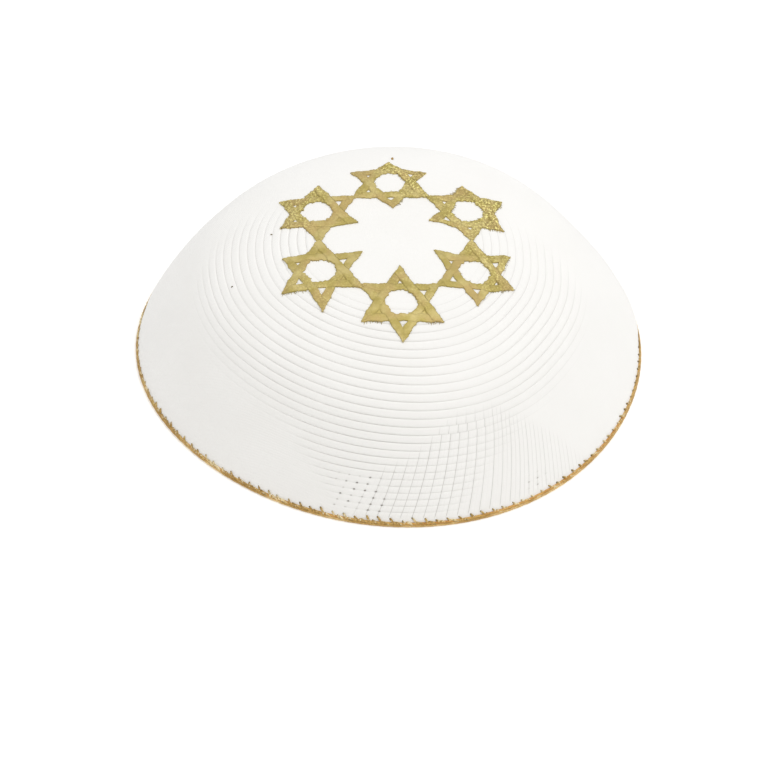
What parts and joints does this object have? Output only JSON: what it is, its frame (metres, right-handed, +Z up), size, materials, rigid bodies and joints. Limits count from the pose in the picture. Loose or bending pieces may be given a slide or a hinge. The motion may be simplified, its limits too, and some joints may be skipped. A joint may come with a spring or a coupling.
{
  "type": "kippah skullcap",
  "caption": "Round crocheted white skullcap with a ring of gold six-pointed stars on its crown and a gold crocheted edging, resting on its rim.",
  "frame": {"origin": "on the surface the cap rests on, under the middle of its rim", "axes": "+Z up through the crown; the front is -Y, where one star points; +X is the viewer's right from the front"},
  "size_m": [0.1472, 0.1414, 0.0431],
  "materials": {
    "white_cotton": "matt crocheted cotton yarn",
    "gold_thread": "crocheted yarn with a metallic gold thread",
    "gold_edging": "crocheted orange gold yarn with a metallic thread"
  },
  "bodies": {
    "root": {"crown_shell": "white_cotton", "star_1": "gold_thread", "star_2": "gold_thread", "star_3": "gold_thread", "star_4": "gold_thread", "star_5": "gold_thread", "star_6": "gold_thread", "rim_edging": "gold_edging"}
  },
  "joints": []
}
